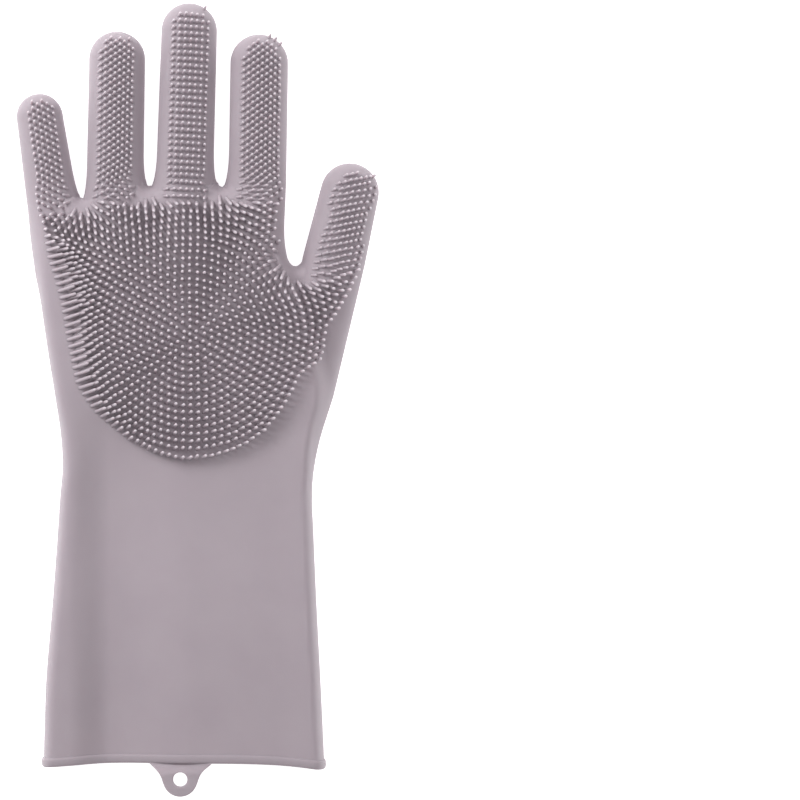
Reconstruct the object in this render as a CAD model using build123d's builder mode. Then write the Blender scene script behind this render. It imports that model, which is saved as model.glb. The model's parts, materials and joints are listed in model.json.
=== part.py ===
"""Silicone grooming glove for a right hand, lying on its back with its bristles up.

Millimetres. +Y runs from the cuff to the fingertips, +X towards the thumb, and +Z is up, out of
the bristled palm. The origin is under the middle of the glove's outline, on the surface it lies on.
"""

from build123d import *
from math import cos, exp, hypot, radians, sin, sqrt, tan
import os

os.makedirs("parts", exist_ok=True)

# The moulded wall, and the shape of its cross-sections.
WALL = 1.5
CORNER_SHARE = 0.42  # corner radius of a section, as a share of its thickness
FLOOR_CUT = 0.25  # depth of the flat worn into the underside where the glove rests

# The hand and cuff are one flattened tube: (y, left edge x, right edge x, thickness).
CUFF_MOUTH = -161.0
HAND_STATIONS = [
    (CUFF_MOUTH, -70.4, 56.6, 28.0),
    (-127.0, -69.2, 54.9, 29.0),
    (-92.0, -66.2, 53.1, 29.0),
    (-60.0, -63.2, 51.8, 28.0),
    (-42.0, -62.0, 51.3, 28.0),
    (-20.0, -61.7, 52.3, 29.0),
    (0.0, -64.0, 55.5, 30.0),
    (20.0, -66.3, 56.0, 30.0),
    (40.0, -69.1, 51.0, 29.0),
    (60.0, -71.8, 43.0, 27.0),
    (67.0, -72.6, 37.8, 26.0),
    (80.0, -74.0, 37.6, 23.0),
    (90.0, -73.0, 37.0, 18.0),
    (94.0, -71.0, 36.0, 14.0),
]

# Flexing bands. A band is a wedge, wide on the palm side, and its hinge line is inside the finger.
BAND_BACK_HALF = 0.5  # half of a band's length at the back of the glove
BAND_CLEARANCE = 1.2  # what a wedge is wider than its travel needs
SEAM_GAP = 0.25  # between a band and the shell that turns on it
WRIST_Y = -42.0
WRIST_RANGE = 45.0
WRIST_PIVOT_Z = 14.0

# The rolled bead on the cuff's edge, and the hanging tab.
BEAD_LENGTH = 4.2
BEAD_PROUD = 0.9
BEAD_ROUND = 0.8
TAB_CENTRE_X = -7.9
TAB_HOLE_Y = -171.2
TAB_HOLE_R = 3.2
TAB_END_R = 7.8
TAB_ROOT_HALF = 13.9
TAB_THICKNESS = 2.2

# Bristles.
BRISTLE_LENGTH = 7.5
BRISTLE_ROOT_R = 0.8
BRISTLE_TIP_R = 0.6
BRISTLE_SUNK = 0.8  # how far a bristle's axis starts inside the wall
STEEPEST_LEAN = 1.15  # sideways reach of a bristle for each unit of height
PALM_PITCH = 3.1
PALM_ROW_TURN = 12.0  # degrees that the palm's rows rise towards the thumb
BARE_AT_WEB = 7.5
END_MARGIN = 1.9  # from the last row on a band to the shell that turns on it
START_MARGIN = 1.1
OUTER_LEAN = 0.6  # lean of a digit's outermost column, across the digit
TIPWARD_LEAN = 0.25  # lean of a digit's bristles towards its tip
DOME_BARE = 0.38  # share of a digit's dome beyond its last row of bristles

# The edge of the palm's bristle field, clockwise from the little finger.
PALM_FIELD = [
    (-70.0, 86.0),
    (-52.0, 87.5),
    (-50.0, 90.0),
    (36.4, 90.0),
    (36.8, 62.0),
    (50.0, 57.5),
    (70.0, 54.0),
    (61.7, 40.0),
    (55.0, 30.0),
    (54.0, 17.0),
    (44.4, 11.0),
    (37.5, -2.0),
    (28.0, -15.0),
    (10.0, -25.5),
    (-7.0, -28.0),
    (-20.0, -25.0),
    (-45.0, -7.0),
    (-54.0, 6.0),
    (-62.0, 53.0),
]
WEBS = [(-52.7, 91.5, 14.0), (-21.5, 96.0, 15.0), (10.9, 95.6, 15.0), (43.6, 60.3, 22.0)]

DOME_STEPS = 8


class Digit:
    """One finger or the thumb: a straight, slightly tapered tube with a domed tip."""

    def __init__(self, name, root, tip, widths, depths, centre_z, dome, web, hinges, columns, pitch):
        self.name = name
        self.root = root
        self.length = hypot(tip[0] - root[0], tip[1] - root[1])
        self.along = ((tip[0] - root[0]) / self.length, (tip[1] - root[1]) / self.length)
        self.widths = widths  # at the root, at the web and where the dome starts
        self.depths = depths  # thickness at the same three places
        self.centre_z = centre_z
        self.dome = dome  # length of the domed tip
        self.web = web  # distance from the root to just past the web
        self.hinges = hinges  # (segment name, distance back from the tip, range in degrees)
        self.columns = columns  # (count, first column's offset, spacing, staggered)
        self.pitch = pitch  # of the bristles along a column

    def point(self, distance, across=0.0, z=0.0):
        ux, uy = self.along
        x = self.root[0] + ux * distance + uy * across
        y = self.root[1] + uy * distance - ux * across
        return (x, y, z)

    def local(self, x, y):
        """Distance along the digit and offset across it of a point seen from above."""
        ux, uy = self.along
        dx, dy = x - self.root[0], y - self.root[1]
        return dx * ux + dy * uy, dx * uy - dy * ux

    def stations(self):
        """Distances of the tube's sections from the root."""
        start = self.length - self.dome
        steps = [start + self.dome * sin(radians(90 * i / DOME_STEPS)) for i in range(DOME_STEPS)]
        return [0.0, self.web, *steps, self.length - 0.05]

    def size(self, distance):
        """Width and thickness of the tube at a distance from the root."""
        start = self.length - self.dome
        if distance <= self.web:
            share = distance / self.web
            pairs = (self.widths[:2], self.depths[:2])
        else:
            share = min((distance - self.web) / (start - self.web), 1.0)
            pairs = (self.widths[1:], self.depths[1:])
        width, depth = (a + (b - a) * share for a, b in pairs)
        if distance > start:
            taper = sqrt(max(1 - ((distance - start) / self.dome) ** 2, 0.0))
            width, depth = width * max(taper, 0.1), depth * max(taper, 0.1)
        return width, depth

    def plane(self, distance):
        ux, uy = self.along
        return Plane(self.point(distance, z=self.centre_z), x_dir=(uy, -ux, 0), z_dir=(ux, uy, 0))

    def pivot_z(self):
        return self.centre_z + 1.5

    def rise(self):
        """Height of the palm side above the hinge lines."""
        return self.depths[1] / 2 - 1.5


DIGITS = [
    Digit("little", (-60.5, 58.0), (-72.6, 137.7), (20.0, 21.0, 19.6), (18.0, 18.0, 17.0), 11.5,
          10.5, 36.5, [("base", 37.0, 60.0), ("tip", 19.5, 60.0)], (6, -4.6, 2.2, True), 3.0),
    Digit("ring", (-38.3, 60.0), (-36.4, 166.1), (24.0, 25.6, 25.0), (20.0, 21.0, 19.5), 12.5,
          13.0, 37.5, [("base", 59.0, 60.0), ("mid", 40.0, 75.0), ("tip", 20.0, 45.0)],
          (8, -6.9, 2.15, True), 3.0),
    Digit("middle", (-6.9, 60.0), (-3.2, 178.9), (24.0, 26.0, 24.8), (20.0, 21.5, 20.0), 12.75,
          13.0, 37.5, [("base", 71.0, 60.0), ("mid", 46.0, 75.0), ("tip", 22.0, 45.0)],
          (7, -5.4, 2.45, False), 2.85),
    Digit("index", (26.4, 55.0), (28.2, 164.7), (23.0, 25.8, 25.6), (20.0, 21.0, 19.5), 12.5,
          13.0, 42.5, [("base", 58.0, 60.0), ("mid", 39.0, 75.0), ("tip", 19.5, 45.0)],
          (8, -6.4, 2.15, True), 3.0),
    Digit("thumb", (41.0, -20.0), (70.4, 106.3), (20.0, 26.6, 25.4), (20.0, 23.0, 20.5), 13.5,
          13.0, 85.0, [("base", 34.0, 45.0), ("tip", 17.0, 55.0)], (8, -7.4, 2.4, False), 3.15),
]


def hand_size(y):
    """Left edge, right edge and thickness of the hand tube at a station y."""
    for (y0, *low), (y1, *high) in zip(HAND_STATIONS, HAND_STATIONS[1:]):
        if y <= y1:
            share = max((y - y0) / (y1 - y0), 0.0)
            return [a + (b - a) * share for a, b in zip(low, high)]
    return HAND_STATIONS[-1][1:]


def shoulder_height(offset, width, depth):
    """Height of a rounded section above its middle, at an offset from its centre line."""
    radius = CORNER_SHARE * depth
    beyond = abs(offset) - (width / 2 - radius)
    if beyond <= 0:
        return depth / 2
    if beyond >= radius:
        return -depth
    return depth / 2 - radius + sqrt(radius**2 - beyond**2)


def top_height(x, y):
    """Height of the glove's bristled side at a point seen from above."""
    heights = []
    if y <= HAND_STATIONS[-1][0]:
        left, right, depth = hand_size(y)
        middle = (left + right) / 2
        heights.append(depth / 2 - FLOOR_CUT + shoulder_height(x - middle, right - left, depth))
    for digit in DIGITS:
        distance, across = digit.local(x, y)
        if 0 <= distance <= digit.length:
            heights.append(digit.centre_z + shoulder_height(across, *digit.size(distance)))
    return max(heights)


def rounded_section(plane, width, depth, inset):
    with BuildSketch(plane) as section:
        RectangleRounded(width - 2 * inset, depth - 2 * inset, CORNER_SHARE * (depth - 2 * inset))
    return section.sketch


def hand_tube(inset, mouth_extra):
    """The flattened tube of hand and cuff, closed at the finger end and run on past the mouth."""
    with BuildPart() as tube:
        stations = [(y, *hand_size(y)) for y, *_ in HAND_STATIONS]
        first, last = stations[0], stations[-1]
        if mouth_extra:
            stations[0] = (first[0] - mouth_extra, *first[1:])
        stations[-1] = (last[0] - inset, *last[1:])
        sections = []
        for y, left, right, depth in stations:
            centre = ((left + right) / 2, y, depth / 2 - FLOOR_CUT)
            plane = Plane(centre, x_dir=(1, 0, 0), z_dir=(0, 1, 0))
            sections.append(rounded_section(plane, right - left, depth, inset))
        loft(sections, ruled=True)
        split(bisect_by=Plane.XY.offset(inset * 0.6), keep=Keep.TOP)
    return tube.part


def digit_tube(digit, inset):
    with BuildPart() as tube:
        sections = []
        for station in digit.stations():
            width, depth = digit.size(station)
            place = station * (digit.length - inset) / digit.length
            shrink = min(inset, depth * 0.35)
            sections.append(rounded_section(digit.plane(place), width, depth, shrink))
        loft(sections, ruled=True)
    return tube.part


def wedge_planes(pivot, along, rise, drop, bend):
    """The two slanted faces of a flexing band, on the parent's side and on the child's."""
    half_top = rise * tan(radians(bend / 2)) + BAND_CLEARANCE
    height = rise + drop
    slope = half_top - BAND_BACK_HALF
    middle = BAND_BACK_HALF + slope * drop / height
    ux, uy = along
    px, py, pz = pivot
    parent = Plane((px - ux * middle, py - uy * middle, pz), z_dir=(ux * height, uy * height, slope))
    child = Plane((px + ux * middle, py + uy * middle, pz), z_dir=(ux * height, uy * height, -slope))
    return parent, child, half_top


def digit_wedge(digit, hinge):
    _, from_tip, bend = hinge
    pivot = digit.point(digit.length - from_tip, z=digit.pivot_z())
    return wedge_planes(pivot, digit.along, digit.rise(), digit.pivot_z(), bend)


def write(part, label):
    part.label = label
    export_step(part, f"parts/{label}.step")


def cut_between(body, start, end, label):
    """The stretch of a tube past one slanted face and before another."""
    with BuildPart() as piece:
        add(body)
        if start is not None:
            split(bisect_by=start, keep=Keep.TOP)
        if end is not None:
            split(bisect_by=end, keep=Keep.BOTTOM)
    write(piece.part, label)


def shell_of(outer, inner):
    with BuildPart() as shell:
        add(outer)
        add(inner, mode=Mode.SUBTRACT)
    return shell.part


def cuff_and_wrist():
    shell = shell_of(hand_tube(0, 0), hand_tube(WALL, 5))
    drop = WRIST_PIVOT_Z
    rise = HAND_STATIONS[4][3] - WRIST_PIVOT_Z
    hand_side, cuff_side, _ = wedge_planes(
        (0, WRIST_Y, WRIST_PIVOT_Z), (0, -1), rise, drop, WRIST_RANGE)
    cut_between(shell, cuff_side, None, "cuff_sleeve")
    cut_between(shell, hand_side, cuff_side.offset(-SEAM_GAP), "wrist_band")
    return hand_side


def cuff_bead():
    """A rolled edge, a little proud of the sleeve everywhere but on the side it rests on."""
    _, left, right, depth = HAND_STATIONS[0]
    width = right - left
    height = depth + BEAD_PROUD
    outside = Plane(((left + right) / 2, CUFF_MOUTH, height / 2), x_dir=(1, 0, 0), z_dir=(0, -1, 0))
    mouth = Plane(((left + right) / 2, CUFF_MOUTH, depth / 2 - FLOOR_CUT), x_dir=(1, 0, 0),
                  z_dir=(0, -1, 0))
    with BuildPart() as bead:
        with BuildSketch(outside):
            RectangleRounded(width + 2 * BEAD_PROUD, height, CORNER_SHARE * depth)
        extrude(amount=BEAD_LENGTH)
        ends = bead.faces().filter_by(Axis.Y)
        fillet(ends.edges(), BEAD_ROUND)
        with BuildSketch(mouth):
            RectangleRounded(width - 2 * WALL, depth - 2 * WALL, CORNER_SHARE * (depth - 2 * WALL))
        extrude(amount=BEAD_LENGTH, mode=Mode.SUBTRACT)
    write(bead.part, "cuff_bead")


def hanging_tab():
    """A flat lug on the bead's palm side, flared where it joins and pierced by the hanging hole."""
    root_y = CUFF_MOUTH - BEAD_LENGTH
    top = HAND_STATIONS[0][3] + BEAD_PROUD - BEAD_ROUND / 2
    waist_y = root_y - 5.5
    with BuildPart() as tab:
        with BuildSketch(Plane.XY.offset(top - TAB_THICKNESS)):
            with BuildLine():
                left_root = (TAB_CENTRE_X - TAB_ROOT_HALF, root_y)
                right_root = (TAB_CENTRE_X + TAB_ROOT_HALF, root_y)
                left_side = (TAB_CENTRE_X - TAB_END_R, TAB_HOLE_Y)
                right_side = (TAB_CENTRE_X + TAB_END_R, TAB_HOLE_Y)
                Line(left_root, right_root)
                Spline(right_root, (TAB_CENTRE_X + TAB_END_R + 1.6, waist_y + 1.4), right_side,
                       tangents=[(-1, -0.9), (0, -1)])
                RadiusArc(right_side, left_side, TAB_END_R)
                Spline(left_side, (TAB_CENTRE_X - TAB_END_R - 1.6, waist_y + 1.4), left_root,
                       tangents=[(0, 1), (-1, 0.9)])
            make_face()
            with Locations((TAB_CENTRE_X, TAB_HOLE_Y)):
                Circle(TAB_HOLE_R, mode=Mode.SUBTRACT)
        extrude(amount=TAB_THICKNESS)
    write(tab.part, "hanging_tab")


def palm_shell(hand_side):
    """Palm, back of the hand and the roots of all five digits, open at the wrist and into each digit."""
    with BuildPart() as roots:
        for digit in DIGITS:
            with BuildPart(mode=Mode.PRIVATE) as root:
                add(digit_tube(digit, 0))
                split(bisect_by=digit_wedge(digit, digit.hinges[0])[0], keep=Keep.BOTTOM)
            add(root.part)
    with BuildPart() as palm:
        add(hand_tube(0, 0))
        split(bisect_by=hand_side, keep=Keep.BOTTOM)
        add(roots.part)
        add(hand_tube(WALL, 5), mode=Mode.SUBTRACT)
        for digit in DIGITS:
            add(digit_tube(digit, WALL), mode=Mode.SUBTRACT)
    write(palm.part, "palm_shell")


def digit_pieces(digit):
    """A digit's bands and shells, in order from the knuckle to the tip."""
    shell = shell_of(digit_tube(digit, 0), digit_tube(digit, WALL))
    wedges = [digit_wedge(digit, hinge) for hinge in digit.hinges]
    for place, (segment, _, _) in enumerate(digit.hinges):
        parent, child, _ = wedges[place]
        further = wedges[place + 1][0] if place + 1 < len(wedges) else None
        joint = "knuckle" if place == 0 else segment
        cut_between(shell, parent, child.offset(-SEAM_GAP), f"{digit.name}_{joint}_band")
        cut_between(shell, child, further, f"{digit.name}_{segment}_shell")


def inside(x, y, outline):
    """Whether a point is inside a closed outline."""
    odd = False
    for (x0, y0), (x1, y1) in zip(outline, outline[1:] + outline[:1]):
        if (y0 > y) != (y1 > y) and x < x0 + (x1 - x0) * (y - y0) / (y1 - y0):
            odd = not odd
    return odd


def palm_lean(x, y):
    """Sideways reach of a palm bristle: in from the outer edge and away from the webs."""
    from_edge = x - hand_size(y)[0]
    at_edge = exp(-max(from_edge - 8, 0) / 11)
    across = 0.12 + 1.15 * at_edge + 0.3 / (1 + exp(-(x - 5) / 8)) * exp(-((y - 5) / 30) ** 2)
    up = 0.12 + 0.45 * at_edge
    for web_x, web_y, reach in WEBS:
        distance = hypot(x - web_x, y - web_y)
        push = 1.5 * exp(-distance / (reach * 0.75))
        across += push * (x - web_x) / distance
        up += push * (y - web_y) / distance
    return across, up


def bristle_place(x, y, lean):
    """Where a bristle stands, sunk a little into the wall, and which way it points."""
    steep = max(hypot(*lean) / STEEPEST_LEAN, 1.0)
    way = Vector(lean[0] / steep, lean[1] / steep, 1).normalized()
    base = Vector(x, y, top_height(x, y)) - way * BRISTLE_SUNK
    return Plane(base, z_dir=way).location


def bristles(places, label):
    with BuildPart() as field:
        with Locations(*places):
            Cone(BRISTLE_ROOT_R, BRISTLE_TIP_R, BRISTLE_LENGTH + BRISTLE_SUNK,
                 align=(Align.CENTER, Align.CENTER, Align.MIN))
    write(field.part, label)


def palm_bristles():
    turn = radians(PALM_ROW_TURN)
    row_gap = PALM_PITCH * sqrt(3) / 2
    places = []
    for row in range(-20, 45):
        for column in range(-35, 35):
            along = (column + 0.5 * (row % 2)) * PALM_PITCH
            x = along * cos(turn) - row * row_gap * sin(turn)
            y = along * sin(turn) + row * row_gap * cos(turn)
            bare = min(hypot(x - web_x, y - web_y) for web_x, web_y, _ in WEBS)
            if inside(x, y, PALM_FIELD) and bare > BARE_AT_WEB:
                places.append(bristle_place(x, y, palm_lean(x, y)))
    bristles(places, "palm_bristles")


def digit_rows(digit):
    """The stretches of a digit that its bristle nodes cover: (name, first row, last row)."""
    ends = [digit.length - from_tip + digit_wedge(digit, (segment, from_tip, bend))[2]
            for segment, from_tip, bend in digit.hinges]
    starts = [digit.web - 6.0 + START_MARGIN, *[end + START_MARGIN for end in ends]]
    stops = [*[end - END_MARGIN for end in ends], digit.length - DOME_BARE * digit.dome]
    names = ["knuckle", *[segment for segment, _, _ in digit.hinges]]
    return list(zip(names, starts, stops))


def digit_bristles(digit):
    """Straight columns of bristles; those on the outer side lean in and towards the tip."""
    count, first, spacing, staggered = digit.columns
    for name, start, stop in digit_rows(digit):
        rows = max(round((stop - start) / digit.pitch), 1) + 1
        step = (stop - start) / (rows - 1)
        places = []
        for column in range(count):
            shifted = staggered and column % 2
            for row in range(rows - shifted):
                distance = start + (row + 0.5 * shifted) * step
                width = digit.size(distance)[0]
                across = (first + column * spacing) * min(width / digit.widths[1], 1.0)
                x, y, _ = digit.point(distance, across)
                share = column / (count - 1)
                lean = (0.03 + OUTER_LEAN * (1 - share), TIPWARD_LEAN)
                places.append(bristle_place(x, y, lean))
        bristles(places, f"{digit.name}_{name}_bristles")


hand_side_face = cuff_and_wrist()
cuff_bead()
hanging_tab()
palm_shell(hand_side_face)
palm_bristles()
for one in DIGITS:
    digit_pieces(one)
    digit_bristles(one)
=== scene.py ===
"""Looks of the silicone grooming glove: smooth skin, bristles, the rolled cuff edge and the tab.

The skin is the zero surface of a formula: a flattened tube for the hand and cuff, and one rounded
tube for each digit, run smoothly into it. Sizes below are in millimetres; meshes are made in
metres.
"""

import json

import bmesh
import bpy
import numpy as np
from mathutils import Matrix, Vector


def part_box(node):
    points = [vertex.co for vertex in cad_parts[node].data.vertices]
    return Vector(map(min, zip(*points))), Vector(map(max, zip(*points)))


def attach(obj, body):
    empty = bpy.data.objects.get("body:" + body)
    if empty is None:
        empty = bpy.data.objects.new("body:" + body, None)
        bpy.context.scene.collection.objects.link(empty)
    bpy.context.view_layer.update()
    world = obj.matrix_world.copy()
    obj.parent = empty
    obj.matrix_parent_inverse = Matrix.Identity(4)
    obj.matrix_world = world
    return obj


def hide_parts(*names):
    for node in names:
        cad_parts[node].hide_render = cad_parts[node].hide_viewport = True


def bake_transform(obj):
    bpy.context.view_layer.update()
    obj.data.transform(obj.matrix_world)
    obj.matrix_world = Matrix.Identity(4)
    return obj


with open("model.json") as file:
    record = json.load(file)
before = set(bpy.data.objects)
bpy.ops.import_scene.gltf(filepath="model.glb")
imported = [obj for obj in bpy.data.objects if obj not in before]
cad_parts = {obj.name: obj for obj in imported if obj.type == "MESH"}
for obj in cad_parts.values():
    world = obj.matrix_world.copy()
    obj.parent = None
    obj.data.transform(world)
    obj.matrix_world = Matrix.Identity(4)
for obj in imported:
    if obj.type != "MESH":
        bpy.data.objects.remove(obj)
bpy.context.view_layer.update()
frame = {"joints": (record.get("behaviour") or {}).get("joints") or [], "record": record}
joints = {j["child"]: j for j in frame["joints"]}
MM = 0.001

# Hand and cuff, from past the mouth to past the webs: (y, left edge x, right edge x, thickness).
HAND_STATIONS = [
    (-190.0, -71.6, 57.9, 28.0),
    (-161.0, -70.4, 56.6, 28.0),
    (-127.0, -69.2, 55.0, 29.0),
    (-92.0, -66.3, 53.2, 29.0),
    (-60.0, -64.0, 51.8, 28.0),
    (-45.0, -63.0, 51.2, 28.0),
    (-30.0, -61.8, 51.8, 28.5),
    (-15.0, -62.7, 53.6, 29.0),
    (0.0, -64.9, 57.0, 30.0),
    (20.0, -68.1, 55.0, 30.0),
    (40.0, -71.1, 50.0, 29.0),
    (60.0, -73.6, 41.0, 27.0),
    (80.0, -76.0, 35.0, 23.5),
    (110.0, -77.0, 36.5, 22.0),
]
LEFT_ROLL, RIGHT_ROLL = 5.6, 5.0  # how far the hand's rounded sides reach in
ROLL_SPAN = (-10, 10)  # across the middle, where the one passes into the other
ROLL_SOFTNESS = 2.4
WEB_ROLL = 20.0  # how far its rounded end reaches in, at the webs
WEB_END_Y = 94.4
# The end stands lower beside the little finger: by how much, up to which x, and how softly.
LITTLE_END_DROP, LITTLE_END_X, LITTLE_END_FADE = 7.0, -42, 4
# The shallow fold along the cuff's outer side: a low ridge beside the edge, then a slope down that
# is deeper towards the mouth, and a long rise back up towards the thumb's side.
RIDGE_HEIGHT, RIDGE_OFFSET, RIDGE_WIDTH = 0.4, 7, 4
FOLD_X, FOLD_WIDTH = -58.5, 18.5
FOLD_DEPTH, FOLD_EXTRA_DEPTH = 6.0, 2.0
FOLD_EXTRA_SPAN = (70, 150)  # how far below the part's middle the extra depth comes in
FOLD_RISE, FOLD_RISE_SPAN = 0.82, (-38, -2)
FOLD_RIGHT_MARGIN = 20
FOLD_END_Y, FOLD_END_FADE = -14, 11
# Bottoms of the gaps between neighbouring digits: x, y, the radius of the round bottom, and how far
# round it the skin is bare.
WEBS = [(-53.0, 89.4, 2.7, 2.6), (-22.1, 94.4, 3.4, 2.0),
        (10.4, 94.2, 3.5, 2.8), (42.5, 60.2, 4.5, 1.6)]
WEB_EDGE = 6.0
WEB_FLANK = 9  # how far the web's plate reaches past the gap on each side
WEB_LENGTH = 14  # how far it reaches back into the hand
WEB_THICKNESS = 20.0
WEB_MIDDLE_Z = 12.0
FILLET = 5.0
WALL = 1.5
SKIN_STEP = 1.6  # sizes of the grid that the meshes are drawn from
LINING_STEP = 2.6
NEWTON_STEPS, LONGEST_STEP, LEAST_SLOPE = 3, 0.8, 0.05
GRID_LOW = (-88.0, -10.0, -3.0)  # y counts from the cuff's mouth
GRID_HIGH = (90.0, 184.0, 34.0)
CUFF_MOUTH_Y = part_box("cuff_sleeve")[0].y / MM
BEAD_END_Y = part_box("cuff_bead")[0].y / MM
MOUTH_CUT_Y = CUFF_MOUTH_Y - 2.6  # the skin ends here, inside the bead

# Digits: root and tip seen from above, how far the tube runs back into the hand, widths and depths
# at the root, the web and the start of the domed tip, the distance from the root to the web, and
# the distance at which the digit's own skin starts. taper is where the root starts to narrow, and
# by how much per millimetre.
DIGITS = {
    "little": dict(root=(-62.2, 58.0), tip=(-74.1, 138.7), back=22.0, widths=(22.8, 22.8, 21.0),
                   depths=(19.0, 18.0, 17.0), web=36.5, start=35.0),
    "ring": dict(root=(-39.0, 60.0), tip=(-37.1, 167.0), back=6.0, widths=(25.0, 25.8, 25.4),
                 depths=(22.0, 21.0, 19.5), web=37.5, start=38.0),
    "middle": dict(root=(-7.9, 60.0), tip=(-4.2, 179.8), back=6.0, widths=(25.0, 26.0, 25.2),
                   depths=(22.0, 21.5, 20.0), web=37.5, start=38.0),
    "index": dict(root=(25.6, 55.0), tip=(27.4, 165.7), back=6.0, widths=(23.8, 26.2, 26.2),
                  depths=(22.0, 21.0, 19.5), web=42.5, start=43.0),
    "thumb": dict(root=(41.8, -20.0), tip=(71.3, 106.8), back=16.0, widths=(27.3, 28.3, 26.4),
                  depths=(22.0, 23.0, 20.5), web=85.0, start=86.0, taper=(25, 0.1)),
}
DIGIT_TAPER = (0, 0.2)
DEPTH_TAPER, DEPTH_TAPER_DELAY = 0.3, 8
LEAST_HALF_DEPTH = 2
TIP_MARK = 13  # the last width and depth stand this far before the tip
TIP_THINNING = 0.94
DIGIT_ROLL = 0.86
DIGIT_REACH = 17  # a digit's pieces reach this far to each side of its middle line
CUT_REACH = 6  # a cut across a digit splits only the faces this near to it
PIVOT_DROP = 1.5  # a digit's middle lies this far below its hinge
SEGMENTS = {"little": ["base", "tip"], "thumb": ["base", "tip"]}
for name, d in DIGITS.items():
    (rx, ry), (tx, ty) = d["root"], d["tip"]
    d["length"] = np.hypot(tx - rx, ty - ry)
    d["along"] = ((tx - rx) / d["length"], (ty - ry) / d["length"])
    d["segments"] = SEGMENTS.get(name, ["base", "mid", "tip"])
    d["middle_z"] = joints[name + "_base"]["pos_m"][2] / MM - PIVOT_DROP
    d["hinges"] = []
    for segment in d["segments"]:
        px, py, _ = (value / MM for value in joints[f"{name}_{segment}"]["pos_m"])
        d["hinges"].append((px - rx) * d["along"][0] + (py - ry) * d["along"][1])


def station_value(y, column):
    """A smooth curve through one column of the hand's stations."""
    ys = np.array([row[0] for row in HAND_STATIONS])
    values = np.array([row[column] for row in HAND_STATIONS])
    slopes = np.gradient(values, ys)
    i = np.clip(np.searchsorted(ys, y) - 1, 0, len(ys) - 2)
    gap = ys[i + 1] - ys[i]
    t = np.clip((y - ys[i]) / gap, 0, 1)
    return (
        (2 * t**3 - 3 * t**2 + 1) * values[i]
        + (t**3 - 2 * t**2 + t) * gap * slopes[i]
        + (3 * t**2 - 2 * t**3) * values[i + 1]
        + (t**3 - t**2) * gap * slopes[i + 1]
    )


def bump(value, centre, width):
    """A soft hill: 1 at its centre, fading to 0."""
    return np.exp(-(((value - centre) / width) ** 2))


def smooth_step(value, low, high):
    """0 below low, 1 above high, and smooth between."""
    t = np.clip((value - low) / (high - low), 0, 1)
    return t * t * (3 - 2 * t)


def relief(x, y, left, right):
    """How much the palm side stands above or below a plain flattened tube."""
    from_left, from_right = x - left, right - x
    cuff = 1 / (1 + np.exp((y - FOLD_END_Y) / FOLD_END_FADE))
    ridge = RIDGE_HEIGHT * bump(from_left, RIDGE_OFFSET, RIDGE_WIDTH)
    risen = 1 - FOLD_RISE * smooth_step(x, *FOLD_RISE_SPAN)
    depth = (FOLD_DEPTH + FOLD_EXTRA_DEPTH * smooth_step(-y, *FOLD_EXTRA_SPAN)) * cuff
    slope = smooth_step(x, FOLD_X, FOLD_X + FOLD_WIDTH)
    return ridge - depth * slope * risen * smooth_step(from_right, 0, FOLD_RIGHT_MARGIN)


def hand_field(x, y, z, inset):
    """The flattened tube of the hand and cuff, with a rounded end at the webs."""
    left, right, thickness = (station_value(y, column) for column in (1, 2, 3))
    to_right = smooth_step(x - (left + right) / 2, *ROLL_SPAN)
    roll = LEFT_ROLL + (RIGHT_ROLL - LEFT_ROLL) * to_right - inset
    side = np.clip(1 - (np.minimum(x - left, right - x) - inset) / roll, 0, None)
    end_y = WEB_END_Y - LITTLE_END_DROP / (1 + np.exp((x - LITTLE_END_X) / LITTLE_END_FADE))
    end = np.clip(1 - (end_y - y - inset) / WEB_ROLL, 0, None)
    half = thickness / 2
    up = half - inset + relief(x, y, left, right)
    height = np.abs(z - half) / np.where(z > half, up, half - inset)
    return (np.sqrt(side**ROLL_SOFTNESS + end**2 + height**2) - 1) * roll


def web_field(web, x, y, z, inset):
    """A small plate that gives the gap between two digits its round bottom."""
    web_x, web_y, radius, _ = web
    centre_y = web_y + radius
    hollow = radius - np.hypot(x - web_x, y - centre_y)
    flank = np.abs(x - web_x) - radius - WEB_FLANK
    plan = np.max([hollow, y - centre_y, flank, web_y - WEB_LENGTH - y], axis=0)
    side = np.clip(1 + (plan + inset) / WEB_EDGE, 0, None)
    height = np.abs(z - WEB_MIDDLE_Z) / (WEB_THICKNESS / 2 - inset)
    return (np.sqrt(side**2 + height**2) - 1) * WEB_EDGE


def local(d, x, y):
    """Distance along a digit and offset across it."""
    ux, uy = d["along"]
    dx, dy = x - d["root"][0], y - d["root"][1]
    return dx * ux + dy * uy, dx * uy - dy * ux


def digit_field(d, x, y, z, inset):
    """A rounded tube with a domed tip."""
    distance, across = local(d, x, y)
    dome = d["widths"][2] / 2
    marks = [0, d["web"], d["length"] - TIP_MARK]
    half_width = np.interp(distance, marks, d["widths"]) / 2 - inset
    taper_start, taper = d.get("taper", DIGIT_TAPER)
    half_width = half_width - taper * np.clip(taper_start - distance, 0, None)
    depths = [*d["depths"], d["depths"][2] * TIP_THINNING]
    half_depth = np.interp(distance, [*marks, d["length"]], depths) / 2 - inset
    thinner = DEPTH_TAPER * np.clip(taper_start - DEPTH_TAPER_DELAY - distance, 0, None)
    half_depth = np.maximum(half_depth - thinner, LEAST_HALF_DEPTH)
    radial = np.hypot(across, np.clip(distance - (d["length"] - dome), 0, None))
    roll = np.maximum(np.minimum(DIGIT_ROLL * half_depth, half_width), 1)
    side = np.clip(1 - (half_width - radial) / roll, 0, None)
    height = np.abs(z - d["middle_z"]) / half_depth
    return (np.sqrt(side**2 + height**2) - 1) * roll + np.clip(-d["back"] - distance, 0, None)


def joined(one, other, rounding):
    """The union of two fields, with a rounded corner where they meet."""
    mix = np.clip(rounding - np.abs(one - other), 0, None) / rounding
    return np.minimum(one, other) - mix**2 * rounding / 4


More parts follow.
